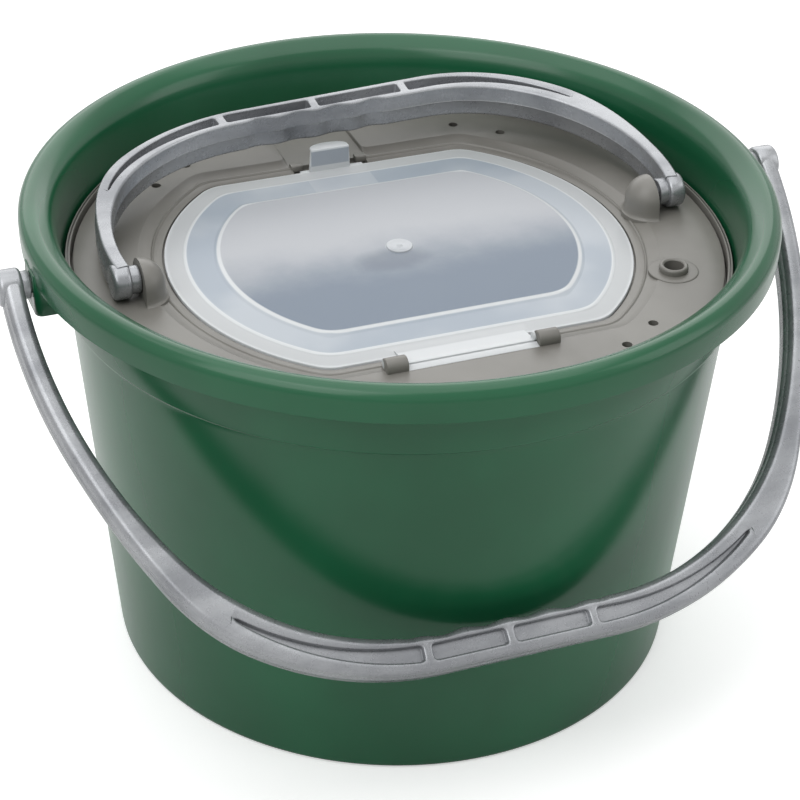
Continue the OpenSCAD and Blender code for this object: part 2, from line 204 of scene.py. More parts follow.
def spun(name, profile, steps=192):
    # a solid turned about the Z axis from a profile of radii and heights in millimetres
    clearSelection()
    bpy.ops.mesh.primitive_plane_add(size=1.0)
    piece = added(name)
    editMode(piece)
    bpy.ops.mesh.select_all(action="SELECT")
    bpy.ops.mesh.merge(type="CENTER")
    for i in range(1, len(profile)):
        bpy.ops.mesh.extrude_region_move(TRANSFORM_OT_translate={"value": (1.0, 0, 0)})
    objectMode()
    order = sorted(range(len(piece.data.vertices)), key=lambda k: piece.data.vertices[k].co.x)
    for i, k in enumerate(order):
        piece.data.vertices[k].co = Vector((profile[i][0] * mm, 0, profile[i][1] * mm))
    editMode(piece)
    bpy.ops.mesh.select_all(action="SELECT")
    bpy.ops.mesh.spin(steps=steps, angle=2 * math.pi, center=(0, 0, 0), axis=(0, 0, 1), use_auto_merge=True)
    objectMode()
    outwards(piece)
    return piece


def combined(target, others, operation):
    # joins or cuts with closed solids, which are used up
    tool = join(others[0], others[1:]) if len(others) > 1 else others[0]
    mod = target.modifiers.new("Combine", "BOOLEAN")
    mod.operation = operation
    mod.solver = "EXACT"
    mod.object = tool
    pick(target)
    bpy.ops.object.modifier_apply(modifier=mod.name)
    clearSelection()
    bpy.data.objects.remove(tool)
    return target


# shader maths

class Wire:
    def __init__(self, sheet, socket):
        self.sheet = sheet
        self.socket = socket

    def maths(self, operation, other, swap=False):
        pair = [other, self] if swap else [self, other]
        return self.sheet.node("ShaderNodeMath", {"operation": operation}, pair)

    def __add__(self, other): return self.maths("ADD", other)
    def __radd__(self, other): return self.maths("ADD", other)
    def __sub__(self, other): return self.maths("SUBTRACT", other)
    def __rsub__(self, other): return self.maths("SUBTRACT", other, True)
    def __mul__(self, other): return self.maths("MULTIPLY", other)
    def __rmul__(self, other): return self.maths("MULTIPLY", other)
    def __pow__(self, other): return self.maths("POWER", other)


class Sheet:
    def __init__(self, name, tree=None):
        self.tree = tree
        if tree:  # one that has its own shader already
            return
        self.material = bpy.data.materials.new(name)
        self.material.use_nodes = True
        self.tree = self.material.node_tree
        self.tree.nodes.clear()
        self.shader = self.tree.nodes.new("ShaderNodeBsdfPrincipled")
        end = self.tree.nodes.new("ShaderNodeOutputMaterial")
        self.tree.links.new(self.shader.outputs[0], end.inputs[0])

    def node(self, kind, settings, values, out=0):
        made = self.tree.nodes.new(kind)
        for key, value in settings.items():
            setattr(made, key, value)
        pairs = values.items() if isinstance(values, dict) else enumerate(values)
        for key, value in pairs:
            self.feed(made.inputs[key], value)
        return Wire(self, made.outputs[out])

    def feed(self, socket, value):
        if isinstance(value, Wire):
            self.tree.links.new(value.socket, socket)
        else:
            socket.default_value = value

    def place(self):
        return self.node("ShaderNodeTexCoord", {}, {}, "Object")

    def axes(self):
        parts = self.node("ShaderNodeSeparateXYZ", {}, [self.place()])
        return [Wire(self, out) for out in parts.socket.node.outputs]

    def larger(self, a, b, soft=0.0):
        if soft:
            return self.node("ShaderNodeMath", {"operation": "SMOOTH_MAX"}, [a, b, soft])
        return self.node("ShaderNodeMath", {"operation": "MAXIMUM"}, [a, b])

    def size(self, value):
        return self.node("ShaderNodeMath", {"operation": "ABSOLUTE"}, [value])

    def band(self, value, low, high, to0=0.0, to1=1.0):
        return self.node("ShaderNodeMapRange", {"clamp": True, "interpolation_type": "SMOOTHSTEP"},
            [value, low, high, to0, to1])

    def stripe(self, value, middle, half, soft):
        # 1 within half of the middle, falling to 0 over soft
        return self.band(self.size(value - middle), half + soft, half)

    def ray(self, kind):
        return self.node("ShaderNodeLightPath", {}, {}, "Is " + kind + " Ray")

    def noise(self, scale, detail=4.0, rough=0.55, stretch=None):
        spot = self.place()
        if stretch:
            spot = self.node("ShaderNodeMapping", {}, {"Vector": spot, "Scale": stretch})
        return self.node("ShaderNodeTexNoise", {},
            {"Vector": spot, "Scale": scale, "Detail": detail, "Roughness": rough})

    def blend(self, factor, a, b):
        return self.node("ShaderNodeMix", {"data_type": "RGBA"}, {0: factor, 6: a, 7: b}, 2)

    def bump(self, height, strength, distance):
        return self.node("ShaderNodeBump", {}, {"Strength": strength, "Distance": distance, "Height": height})

    def shade(self, **sockets):
        for key, value in sockets.items():
            self.feed(self.shader.inputs[key.replace("_", " ")], value)
        return self.material


def rgb(r, g, b):
    # a screen colour from 0 to 255, as the shaders want it
    def linear(v):
        v = v / 255
        return v / 12.92 if v <= 0.04045 else ((v + 0.055) / 1.055) ** 2.4
    return (linear(r), linear(g), linear(b), 1.0)


# materials

bucketGreen = {"colour": rgb(24, 90, 58), "deep": rgb(19, 79, 50), "roughness": 0.17, "ior": 1.44, "relief": 0.06}


def greenPlastic(d):
    # glossy plastic with a faint cloud and the fine upright marks of its mould
    s = Sheet("greenPlastic")
    cloud = s.noise(scale=9.0, detail=3.0)
    fine = s.noise(scale=900.0, detail=2.0)
    drawn = s.noise(scale=60.0, detail=3.0, stretch=(1, 1, 0.12))
    colour = s.blend(s.band(cloud, low=0.35, high=0.65), d["deep"], d["colour"])
    return s.shade(Base_Color=colour, Roughness=d["roughness"] + 0.06 * drawn + 0.03 * cloud, IOR=d["ior"],
        Normal=s.bump(drawn * 0.6 + fine * 0.1, strength=d["relief"], distance=0.0006))


silver = {
    "pale": rgb(161, 163, 166), "dark": rgb(128, 130, 134),
    "metallic": 0.55, "roughness": 0.27, "worn": 0.10, "ior": 1.5, "relief": 0.10,
}


def silverPlastic(d):
    # silver-grey plastic with flow lines, flakes and rubbed spots
    s = Sheet("silverPlastic")
    flow = s.noise(scale=26.0, detail=5.0, rough=0.6, stretch=(0.5, 1.4, 1.4))
    flake = s.noise(scale=2600.0, detail=1.0)
    marks = s.noise(scale=120.0, detail=6.0, rough=0.7)
    colour = s.blend(s.band(flow * 0.8 + flake * 0.2, low=0.36, high=0.64), d["dark"], d["pale"])
    rubbed = d["worn"] * s.band(marks, low=0.45, high=0.7)
    return s.shade(Base_Color=colour, Metallic=d["metallic"], Roughness=d["roughness"] + rubbed, IOR=d["ior"],
        Normal=s.bump(flow * 0.5 + marks * 0.35 + flake * 0.05, strength=d["relief"], distance=0.0005))


deckGrey = {"pale": rgb(122, 120, 115), "dark": rgb(109, 107, 102), "roughness": 0.36, "ior": 1.5, "relief": 0.12}


def deckPlastic(d):
    # warm grey plastic with a fine grain
    s = Sheet("deckPlastic")
    cloud = s.noise(scale=14.0, detail=4.0)
    grain = s.noise(scale=1500.0, detail=3.0)
    colour = s.blend(s.band(cloud, low=0.35, high=0.65), d["dark"], d["pale"])
    return s.shade(Base_Color=colour, Roughness=d["roughness"] + 0.08 * cloud, IOR=d["ior"],
        Normal=s.bump(grain * 0.4 + cloud * 0.6, strength=d["relief"], distance=0.0004))


# the outline that the deck and the hatch share, in millimetres: a round plate with two flat sides
lid = {"round": 94.0, "flat": 75.3, "corner": 14.1, "mid": -2.0}

milk = {
    # edge is the white of the steps and rims, partly whiter plastic and partly painted highlight
    "flange": rgb(198, 201, 203), "edge": rgb(226, 229, 231), "shoulder": rgb(170, 180, 191),
    "cloud": rgb(204, 209, 214), "tabGrey": rgb(118, 131, 147), "gate": rgb(84, 98, 116),
    # the panel's painted reflection: pale at the back, dark bluish at the front
    "paintedReflectionBack": rgb(186, 189, 194), "paintedReflectionFront": rgb(112, 126, 143),
    "roughness": 0.3, "transmission": 0.2, "ior": 1.45, "relief": 0.06,
    "blunt": 6.0, "step": -8.3, "rise": -21.6,  # the white lines, whiter plastic and painted highlights, as distances from the outline
    "wander": 26.0, "shadeFrom": -26.0, "shadeTo": 16.0, "spot": (-6.0, -9.0), "spotSize": (20.0, 8.0),
    "gateSize": (5.9, 5.2), "behindTab": 13.6, "tabAt": -3.2, "tabClear": 8.4, "tabTop": 178.9,
}


def milkyPlastic(d):
    # clear plastic that is whiter at its edges and steps, partly with painted highlights there, clouded in between, and
    # with a painted reflection across its panel
    s = Sheet("milkyPlastic")
    x, y, z = (axis * 1000.0 for axis in s.axes())
    flow = s.noise(scale=30.0, detail=5.0, rough=0.6)
    fine = s.noise(scale=700.0, detail=2.0)
    away = (x * x + y * y) ** 0.5
    outline = s.larger(away - lid["round"], s.size(y) - lid["flat"], d["blunt"])

    # the panel, with a painted reflection: paler towards the back and darker towards the front; and a darker soft patch
    # in front of the gate mark
    wander = (flow - 0.5) * d["wander"]
    # painted reflection: the panel runs from the dark front colour to the pale back colour along y
    panel = s.blend(s.band(y + wander, d["shadeFrom"], d["shadeTo"]), d["paintedReflectionFront"], d["paintedReflectionBack"])
    overX, overY = x - d["spot"][0], y - d["spot"][1]
    spot = (overX * overX + overY * overY * 3.0) ** 0.5
    panel = s.blend(s.band(spot + wander * 0.2, *d["spotSize"], 0.0, 0.5), panel, d["gate"])

    # the shoulder round it, with a paler patch in front of the tab, and the flange
    cloudy = s.band(s.noise(scale=16.0, detail=3.0, rough=0.5), low=0.42, high=0.6)
    shoulder = s.blend(cloudy * 0.55, d["shoulder"], d["cloud"])
    patch = s.stripe(x, lid["mid"], d["behindTab"], 0.5) * s.band(y, 50.0, 51.0)
    shoulder = s.blend(patch * 0.5, shoulder, d["cloud"])
    colour = s.blend(s.band(outline, d["rise"] - 0.6, d["rise"] + 0.6), panel, shoulder)
    colour = s.blend(s.band(outline, d["step"] - 0.5, d["step"] + 0.5), colour, d["flange"])

    # the tab, and white along every edge: whiter plastic with painted highlights on the steps and rims, and the pale
    # gate mark
    tab = s.band(z, 171.8, 172.4) * s.band(y, 70.0, 72.0)
    colour = s.blend(tab, colour, d["tabGrey"])
    tabSides = s.band(s.size(x - d["tabAt"]), d["tabClear"] - 0.3, d["tabClear"] + 0.2)
    tabRimAndHighlight = s.larger(tabSides, s.band(z, d["tabTop"] - 0.4, d["tabTop"] + 0.3))
    whiteLinesAndHighlights = s.larger(s.stripe(outline, d["step"], 0.3, 0.7), s.stripe(outline, d["rise"], 0.35, 0.8))
    whiteLinesAndHighlights = s.larger(s.larger(whiteLinesAndHighlights, s.band(outline, -1.6, -0.4) * 0.7), tabRimAndHighlight * tab)
    gate = s.band(away, *d["gateSize"]) * 0.6
    colour = s.blend(s.larger(whiteLinesAndHighlights, gate), colour, d["edge"])
    return s.shade(Base_Color=colour, Roughness=d["roughness"] + 0.1 * flow, IOR=d["ior"],
        Transmission_Weight=d["transmission"],
        Normal=s.bump(flow * 0.7 + fine * 0.1, strength=d["relief"], distance=0.0006))


green = greenPlastic(bucketGreen)
silverGrey = silverPlastic(silver)
warmGrey = deckPlastic(deckGrey)
milky = milkyPlastic(milk)
print("materials made")


# the bails, in metres, drawn flat with their pivots on the X axis and then turned into place

outerBail = {
    "pivot": (2.2 * mm, 0.0, 182 * mm), "turn": 180 + 38.5,
    "reach": 165.7 * mm, "grip": 35.46 * mm, "bend": 105.05 * mm, "bendAngle": 58.0, "halfSpan": 155.6 * mm,
    "gripWidth": 14.3 * mm, "armWidth": 8.0 * mm, "ease": (0.35, 0.75), "thick": 14 * mm, "edge": 2.9 * mm,
    "ribs": (-41.2 * mm, -8.3 * mm, 26.0 * mm), "ribHalf": 1.7 * mm, "tips": (112 * mm, 99 * mm),
    "pocketIn": 3.9 * mm, "pocketOut": 4.3 * mm, "pocketDeep": 2.9 * mm, "corner": 1.5 * mm, "lip": 0.8 * mm,
    "bossRadius": 7.2 * mm, "boss": (155.7 * mm, 165.0 * mm), "collarRadius": 5.5 * mm, "collar": 152.8 * mm,
    "studRadius": 3.6 * mm, "stud": 143.4 * mm,
    "waves": 5, "wavePitch": 17 * mm, "waveDeep": 1.2 * mm, "seam": 0.25 * mm, "skew": 0.0,
}
innerBail = {
    "pivot": (1.2 * mm, -4 * mm, 178.8 * mm), "turn": 7.0,
    "reach": 85 * mm, "grip": 41.5 * mm, "bend": 73 * mm, "bendAngle": 80.0, "halfSpan": 113.61 * mm,
    "gripWidth": 10.8 * mm, "armWidth": 5.6 * mm, "ease": (0.3, 0.6), "thick": 14.6 * mm, "edge": 1.3 * mm,
    "ribs": (-49.5 * mm, -8.6 * mm, 32.5 * mm), "ribHalf": 1.8 * mm, "tips": (117.5 * mm, 103 * mm),
    "pocketIn": 2.2 * mm, "pocketOut": 2.5 * mm, "pocketDeep": 4.8 * mm, "corner": 1.0 * mm, "lip": 0.5 * mm,
    "bossRadius": 7.0 * mm, "boss": (113.7 * mm, 120.9 * mm), "collarRadius": 5.5 * mm, "collar": 110.0 * mm,
    "studRadius": 3.0 * mm, "stud": 103.5 * mm,
    "waves": 4, "wavePitch": 17 * mm, "waveDeep": 1.3 * mm, "seam": 0.25 * mm, "skew": 0.045,
}


def archBend(d):
    # the second arc of the arch: where it starts, how far it turns and its radius
    first = math.radians(d["bendAngle"])
    x = d["grip"] + d["bend"] * math.sin(first)
    y = d["reach"] - d["bend"] * (1 - math.cos(first))
    turn = 2 * (math.atan2(y, d["halfSpan"] - x) - first)
    radius = math.hypot(d["halfSpan"] - x, y) / (2 * math.sin(abs(turn) / 2))
    return first, x, y, turn, radius


def archLength(d):
    first, x, y, turn, radius = archBend(d)
    return d["grip"] + d["bend"] * first + radius * turn


def archSpot(d, along):
    # a place on the concave edge: x, y, the way outwards and the strap's width there
    first, x1, y1, turn, radius = archBend(d)
    away = abs(along)
    side = 1 if along >= 0 else -1
    firstShare, lastShare = 12 / 21, 9 / 21  # how much of the narrowing falls in each arc
    if away <= d["grip"]:
        x, y, a, share = away, d["reach"], 0.0, 0.0
    elif away <= d["grip"] + d["bend"] * first:
        a = (away - d["grip"]) / d["bend"]
        x, y = d["grip"] + d["bend"] * math.sin(a), d["reach"] - d["bend"] * (1 - math.cos(a))
        share = firstShare * a / first
    else:
        past = (away - d["grip"] - d["bend"] * first) / radius
        a = first + past
        x, y = x1 + radius * (math.sin(a) - math.sin(first)), y1 + radius * (math.cos(a) - math.cos(first))
        share = firstShare + lastShare * past / turn
    t = min(1.0, max(0.0, (share - d["ease"][0]) / (d["ease"][1] - d["ease"][0])))
    width = d["gripWidth"] + (d["armWidth"] - d["gripWidth"]) * t * t * (3 - 2 * t)
    return side * x, y, side * a, width


def strapPoint(d, along, across, z):
    # across runs from 0 on the concave edge to 1; skew shears the grip sideways, and not the pivots
    x, y, a, width = archSpot(d, along)
    x, y = x + across * width * math.sin(a), y + across * width * math.cos(a)
    return (x, y + d["skew"] * x * (y / d["reach"]) ** 3, z)


def fingerWave(d, along):
    # how deep the grip's waves are at a place, fading out at the last one
    span, fade = d["waves"] * d["wavePitch"] / 2, 5 * mm
    past = along - d["ribs"][1]
    if abs(past) >= span:
        return 0.0
    swell = 0.5 - 0.5 * math.cos(2 * math.pi * past / d["wavePitch"])
    return d["waveDeep"] * swell * min(1.0, (span - abs(past)) / fade)


def makeStrap(name, d, step=1.6 * mm):
    length = archLength(d)
    count = int(2 * length / step)
    half, edge = d["thick"] / 2, d["edge"]
    waveSink, seamHalf, cornerSteps = 3.4 * mm, 0.5 * mm, 7
    loops = []
    for k in range(count + 1):
        along = length * (2 * k / count - 1)
        width = archSpot(d, along)[3]
        wave = fingerWave(d, along)
        spots = []
        for cy, cz, start in ((1, 1, 0), (0, 1, 90), (0, 0, 180), (1, 0, 270)):
            for j in range(cornerSteps + 1):
                turn = math.radians(start + 90 * j / cornerSteps)
                across = (width - edge if cy else edge) + edge * math.cos(turn)
                spots.append((across, (half - edge if cz else edge - half) + edge * math.sin(turn)))
            if start in (0, 180):
                spots.append((width / 2, half if cz else -half))
            else:  # the moulding's seam along each side
                foot, way = (0.0, 1) if start == 90 else (width, -1)
                spots += [(foot, way * seamHalf), (foot - way * d["seam"], 0.0), (foot, -way * seamHalf)]
        sunk = [(across + wave * max(0.0, 1 - across / waveSink), z) for across, z in spots]
        loops.append([strapPoint(d, along, across / width, z) for across, z in sunk])
    return layered(name, loops)


def pocketLoop(d, low, high, taper, grow, z):
    # the rounded outline of a pocket between two places along the strap
    corner, tip = d["corner"] + grow, 0.47  # tip is where a tapered end closes, across the strap
    a, b = low - grow, high + grow
    ends = (0.0, 0.06, 0.22, 0.5, 1.0)
    places = [a + corner * f for f in ends]
    places += [a + corner + (b - a - 2 * corner) * j / 17 for j in range(1, 17)]
    places += [b - corner * f for f in reversed(ends)]
    inner, outer = [], []
    for along in places:
        width = archSpot(d, along)[3]
        share = min(1.0, max(0.0, (along - low) / (high - low)))
        squeeze = (share if taper > 0 else 1 - share if taper < 0 else 0.0) ** 1.2
        near = d["pocketIn"] + (tip * width - d["pocketIn"]) * squeeze - grow
        far = width - d["pocketOut"] - (tip * width - d["pocketOut"]) * squeeze + grow
        gap = min(along - a, b - along)
        if gap < corner:
            cut = corner - math.sqrt(max(0.0, corner ** 2 - (corner - gap) ** 2))
            near, far = near + cut, far - cut
            if near > far:
                near = far = (near + far) / 2
        inner.append(strapPoint(d, along, near / width, z))
        outer.append(strapPoint(d, along, far / width, z))
    return inner + outer[::-1]


def makePocket(d, low, high, taper, side):
    half, lip, deep = d["thick"] / 2, d["lip"], d["pocketDeep"]
    soft = 0.35 * mm
    layers = [(-soft, half - deep), (0.0, half - deep + soft)]
    layers += [(lip * (1 - cosDeg(t)), half - lip + lip * sinDeg(t)) for t in (0, 30, 60, 90)]
    layers += [(lip * 1.02, half + 1 * mm)]
    return layered("pocket", [pocketLoop(d, low, high, taper, grow, side * z) for grow, z in layers])


def makeBail(name, d, body):
    strap = makeStrap(name, d)
    ribs, half, lap = d["ribs"], d["ribHalf"], 1 * mm
    plans = [(ribs[0] + half, ribs[1] - half, 0), (ribs[1] + half, ribs[2] - half, 0)]
    plans += [(ribs[2] + half, d["tips"][1], 1), (-d["tips"][0], ribs[0] - half, -1)]
    pockets = [makePocket(d, low, high, taper, side) for low, high, taper in plans for side in (1, -1)]
    combined(strap, pockets, "DIFFERENCE")
    rods = [("boss", d["bossRadius"], *d["boss"], 1.6 * mm)]
    rods += [("collar", d["collarRadius"], d["collar"], d["boss"][0] + lap, 0.5 * mm)]
    rods += [("stud", d["studRadius"], d["stud"], d["collar"] + lap, 0.4 * mm)]
    parts = [rodAlongX(part, radius, s * near, s * far, soft) for s in (1, -1) for part, radius, near, far, soft in rods]
    bail = join(strap, parts)
    turned(bail, d["turn"], d["pivot"])
    smooth(bail, 40)
    finished(bail, silverGrey, body, (body,))
    print(name, "made")


makeBail("outerBailMoulding", outerBail, "outer_bail")
makeBail("innerBailMoulding", innerBail, "inner_bail")


# the bucket

bucketShape = {
    "rim": 150.0, "top": 198.0, "foot": 118.0, "taper": 0.0902, "step": 162.0, "stepOut": 2.5, "wall": 2.2, "roll": 5.0,
}


def bucketProfile(d):
    foot, rim, roll, wall = d["foot"], d["rim"], d["roll"], d["wall"]

    def side(z):
        return foot + d["taper"] * z + (d["stepOut"] if z > d["step"] else 0.0)

    def arc(radius, first, last, by):
        return [(rim - roll + radius * cosDeg(a), d["top"] - roll + radius * sinDeg(a)) for a in range(first, last, by)]

    # under the floor, round the foot ring and up the wall to the small step
    outside = [(0, 3.5), (foot - 6, 3.5), (foot - 3.4, 2.6), (foot - 2.6, 0.5), (foot - 2.0, 0.0), (foot - 0.9, 0.0)]
    outside += [(foot, 0.8)] + [(side(z), z) for z in (2, 6, 20, 50, 80, 110, 140, 158, 161.2)]
    outside += [(side(161.2) + 0.25, 161.8), (side(162.1) - 0.5, 161.9), (side(162.1) - 0.05, 162.4)]
    outside += [(side(z), z) for z in (163, 170, 178, 185)]

    # under the rolled rim, round its turned-down edge and over its top
    neck = side(187.0)
    outside += [(neck + 0.3, 187.6), (neck + 0.9, 191.2), (rim - roll - 3.0, d["top"] - roll + 1.0)]
    outside += arc(roll - wall, 150, -1, -15)
    outside += [(rim - 2.25, 190), (rim - 2.5, 185.2), (rim - 2.1, 184.6)]
    outside += [(rim - 0.8, 184.6), (rim - 0.35, 185.0), (rim - 0.1, 188)]
    outside += arc(roll, 0, 121, 6)

    # down the inside over the ledge that carries the insert
    inside = [(139.8, 195.6), (138.4, 194.5), (137.2, 193.0), (136.2, 190.5)]
    inside += [(side(z) - wall, z) for z in (186, 176, 166)]
    inside += [(side(164.8) - wall, 164.6), (side(164.2) - 2.5, 164.2), (side(160) - 1.8, 164.2), (side(160) - 2.1, 163.8)]
    inside += [(side(z) - wall, z) for z in (158, 90, 20)]
    inside += [(side(8) - 2.4, 8), (side(6) - 4.6, 6.2), (side(6) - 8, 5.9), (0, 5.9)]
    return outside + inside


bracketShape = {
    "half": 9.0, "low": 172.0, "top": 189.0, "face": 150.3, "inner": 134.9, "taper": 0.0902, "corner": 3.0,
    "rib": 2.2, "hollow": 15.0, "hole": 3.66, "pivot": 182.0, "edge": 0.4,
}


def makeBracket(d):
    box = block("bracket", (d["inner"], -d["half"], d["low"]), (d["face"], d["half"], d["top"]))
    middle = (d["inner"] + d["face"]) / 2 * mm
    for v in box.data.vertices:
        if v.co.x < middle:  # the side on the wall leans with it
            v.co.x += d["taper"] * (v.co.z - d["low"] * mm)
    editMode(box, "EDGE")
    bpy.ops.mesh.select_all(action="DESELECT")
    objectMode()
    for edge in box.data.edges:
        a, b = (box.data.vertices[k].co for k in edge.vertices)
        edge.select = a.x > middle and b.x > middle and abs(a.y - b.y) < 1e-6
    bpy.ops.object.mode_set(mode="EDIT")
    bpy.ops.mesh.bevel(offset=d["corner"] * mm, segments=6, affect="EDGES")
    bpy.ops.mesh.select_mode(type="FACE")
    bpy.ops.mesh.select_all(action="DESELECT")
    objectMode()
    for face in box.data.polygons:  # hollow from below
        face.select = face.normal.z < -0.9
    bpy.ops.object.mode_set(mode="EDIT")
    bpy.ops.mesh.inset(thickness=d["rib"] * mm)
    bpy.ops.mesh.extrude_region_move(TRANSFORM_OT_translate={"value": (0, 0, d["hollow"] * mm)})
    objectMode()
    outwards(box)
    hole = rodAlongX("hole", d["hole"] * mm, (d["face"] - 5) * mm, (d["face"] + 2) * mm)
    combined(box, [moved(hole, 0, 0, d["pivot"])], "DIFFERENCE")
    return softened(box, d["edge"] * mm, segments=2, angle=50)


shell = spun("bucketMoulding", bucketProfile(bucketShape))
rightBracket = makeBracket(bracketShape)
leftBracket = makeBracket(bracketShape)
leftBracket.data.transform(Matrix.Rotation(math.pi, 4, "Z"))
join(shell, [rightBracket, leftBracket])
smooth(shell, 40)
finished(shell, green, "bucket", ("bucket",))
print("bucket made")


# outlines for the deck and the hatch, all with the same number of points

latch = {"half": 17.0, "deep": 40.0, "mouth": 3.6, "corner": 3.0}


def arcPoints(cx, cy, r, start, end, first, last, count):
    turns = [math.radians(start + (end - start) * i / count) for i in range(first, last + 1)]
    return [(cx + r * math.cos(t), cy + r * math.sin(t)) for t in turns]


def backEdge(cx, h, grown):
    # the straight back edge, with the latch channel in it where grown says how wide
    mid, reach = lid["mid"], latch["half"] + latch["mouth"]
    rightRun, leftRun = (cx - mid - reach) / 3, (cx + mid - reach) / 3
    if grown:
        w, f, g = latch["half"] + grown, latch["mouth"] - grown, latch["corner"] + grown
        far = lid["flat"] + latch["deep"] + grown
        right = [(mid + w + f, h)] + arcPoints(mid + w + f, h + f, f, 270, 180, 1, 4, 4)
        right += [(mid + w, far - g)] + arcPoints(mid + w - g, far - g, g, 0, 90, 1, 3, 3)
    else:
        steps = [reach - latch["mouth"] * k / 4 for k in range(5)] + [12.75, 8.5, 5.7, 2.8]
        right = [(mid + s, h) for s in steps]
        far = h
    left = [(2 * mid - x, y) for x, y in reversed(right)]
    before = [(mid + reach + rightRun * k, h) for k in (2, 1)]
    after = [(mid - reach - leftRun * k, h) for k in (1, 2)]
    return before + right + [(mid, far)] + left + after


def lidLoop(o, z, grown=0.0):
    # the shared outline moved out by o, at a height, in metres
    r, h = lid["round"] + o, lid["flat"] + o
    c = lid["corner"] + min(o, 0) * 0.5
    cx, cy = math.sqrt((r - c) ** 2 - (h - c) ** 2), h - c
    a = math.degrees(math.atan2(cy, cx))
    side, corner, front = 32, 8, 12  # steps along each part
    flat = arcPoints(0, 0, r, -a, a, 0, side, side) + arcPoints(cx, cy, c, a, 90, 1, corner, corner)
    flat += backEdge(cx, h, grown) + arcPoints(-cx, cy, c, 90, 180 - a, 0, corner - 1, corner)
    flat += arcPoints(0, 0, r, 180 - a, 180 + a, 0, side, side) + arcPoints(-cx, -cy, c, 180 + a, 270, 1, corner, corner)
    flat += [(-cx + 2 * cx * i / front, -h) for i in range(1, front)]
    flat += arcPoints(cx, -cy, c, 270, 360 - a, 0, corner - 1, corner)
    return [(x * mm, y * mm, z * mm) for x, y in flat]


def roundLoop(radius, z):
    turns = [math.atan2(y, x) for x, y, _ in lidLoop(10.7, 0, 0.9)]
    return [(radius * mm * math.cos(t), radius * mm * math.sin(t), z * mm) for t in turns]


# the deck

deckShape = {
    "outer": 130.0, "top": 171.3, "low": 169.1, "floor": 169.8, "ledge": 167.6, "pan": 165.4, "foot": 166.6,
    "ventAt": 112.0, "ventRadius": 2.0, "vents": (46, 57, -51, -61),
    "portAt": 109.6, "portTurn": -29.1, "portBore": 4.0,
    "lugAt": 108.5, "lugY": -4.0, "lugRadius": 10.0, "lugTop": 186.5, "lugBore": 3.2, "pivot": 178.8,
    "hinge": (-83.0, 172.6), "barBore": 2.0, "strip": (-30.0, 22.8), "stripLow": 168.9,
    "clips": (-34.1, 26.9), "clipHalf": 4.3, "clipRadius": 3.6, "clipAhead": 2.2, "clipDrop": 0.3, "clipFoot": 169.6,
    "leaf": (-88.7, -85.35, 171.1, 171.9), "leafFall": 0.45,
    "catches": ((-16.9, -12.0), (12.0, 16.9)), "catchDepth": (3.4, 7.2), "catchHeight": (168.2, 171.0),
}
through = (160, 180)  # heights that a cut starts and ends at, to go right through the deck


def makeLug(d, side):
    # half a domed post, flat on the side of the bail, with the bail's bore in it
    r, high = d["lugRadius"], d["lugTop"]
    profile = [(0, 169.5), (r + 1.3, 169.5), (r + 1.2, 171.35), (r + 0.6, 171.7), (r + 0.2, 172.6), (r, 174.2)]
    profile += [(r * cosDeg(t), high - r + r * sinDeg(t)) for t in range(4, 90, 6)] + [(0, high)]
    lug = moved(spun("lug", profile, 64), side * d["lugAt"], d["lugY"], 0)
    half = block("half", (d["lugAt"], -30, 150), (d["lugAt"] + 30, 25, 200))
    if side < 0:
        moved(half, -2 * d["lugAt"] - 30, 0, 0)
    combined(lug, [half], "DIFFERENCE")
    softened(lug, 0.7 * mm)
    low, far = sorted((side * (d["lugAt"] - 6.5), side * (d["lugAt"] + 3)))
    bore = moved(rodAlongX("bore", d["lugBore"] * mm, low * mm, far * mm), 0, d["lugY"], d["pivot"])
    return combined(lug, [bore], "DIFFERENCE")


def makePort(d):
    # the collar for an air line, its round pad and its bore
    x, y = d["portAt"] * cosDeg(d["portTurn"]), d["portAt"] * sinDeg(d["portTurn"])
    collar = [(0, 164.1), (5.5, 164.1), (5.8, 164.4), (5.8, 171.4), (5.85, 173.0), (5.7, 173.6)]
    collar += [(5.3, 174.0), (4.85, 174.15), (4.4, 174.0), (4.1, 173.6), (0, 173.6)]
    pad = [(0, 170.0), (10.0, 170.0), (10.0, 171.45), (9.8, 171.6), (9.4, 171.68), (6.6, 171.68), (0, 171.68)]
    solids = [moved(spun(name, profile, 64), x, y, 0) for name, profile in (("portCollar", collar), ("portPad", pad))]
    return solids, zRod("portBore", d["portBore"], x, y, *through)


def makeClip(d, x):
    # a short half-round lump over each end of the hinge's bar
    y, z = d["hinge"][0] - d["clipAhead"], d["hinge"][1] - d["clipDrop"]
    half, radius, inset = d["clipHalf"], d["clipRadius"], 0.1
    clip = moved(rodAlongX("clip", radius * mm, (x - half) * mm, (x + half) * mm, soft=0.5 * mm), 0, y, z)
    low = (x - half + inset, y - radius + inset, d["clipFoot"])
    base = block("clipBase", low, (x + half - inset, y + radius - inset, z), 0.3)
    return [clip, base]


def makeLeaf(d):
    # the thin leaf on the deck in front of the hinge; it ends in a sharp line
    front, back, under, over = d["leaf"]
    leaf = block("hingeLeaf", (d["strip"][0] + 0.2, front, under), (d["strip"][1] - 0.2, back, over), 0.2)
    for v in leaf.data.vertices:
        if v.co.z > (under + 0.3) * mm:
            v.co.z -= d["leafFall"] * mm * max(0.0, (back * mm - v.co.y) / ((back - front) * mm))
    smooth(leaf, 38)
    finished(leaf, milky, "insert")


